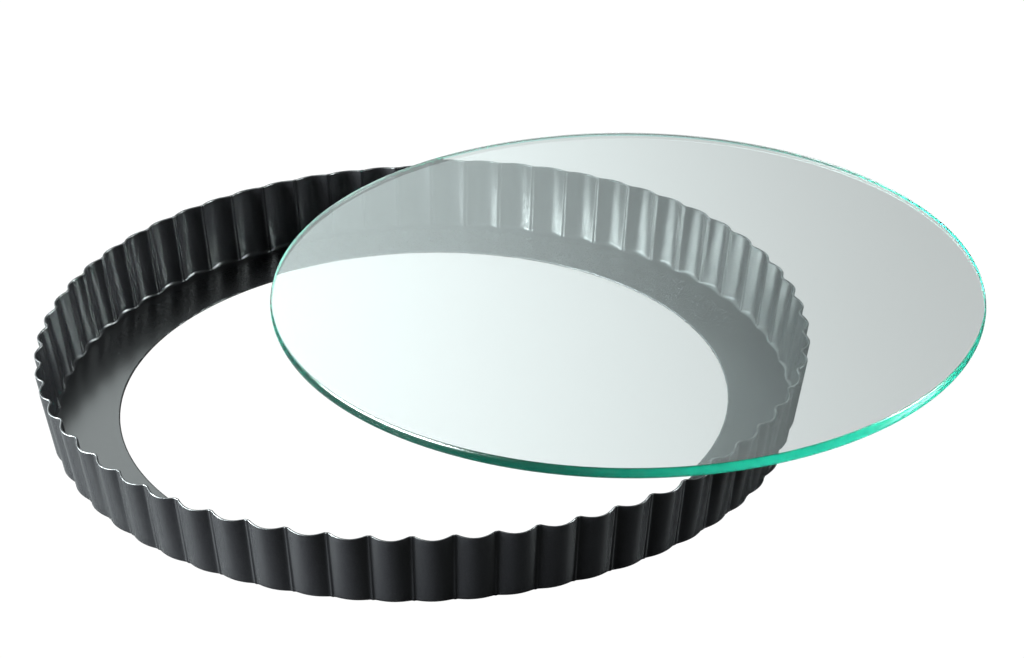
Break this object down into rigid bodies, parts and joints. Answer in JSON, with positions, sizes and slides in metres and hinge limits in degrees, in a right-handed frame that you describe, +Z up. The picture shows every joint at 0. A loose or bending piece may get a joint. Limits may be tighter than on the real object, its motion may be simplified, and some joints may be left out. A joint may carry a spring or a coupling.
{
  "type": "loose-bottomed tart pan",
  "caption": "Round fluted tart ring with a flat inward ledge, and its loose glass disc base set down on the rim.",
  "frame": {"origin": "centre of the round opening in the ledge, in the plane the pan stands on", "axes": "+Z up along the ring's axis; +X through a ridge between two flutes, with the disc shifted mostly towards +X"},
  "size_m": [0.3478, 0.2958, 0.032],
  "materials": {
    "coated_steel": "satin non-stick coat, charcoal black",
    "clear_glass": "polished, green at the edge"
  },
  "bodies": {
    "ring": {"fluted_ring": "coated_steel"},
    "base": {"glass_base": "clear_glass"}
  },
  "joints": [
    {"name": "base_lift", "type": "slide", "parent": "ring", "child": "base", "axis": [0, 0, 1], "range_m": [0, 0.1]}
  ]
}
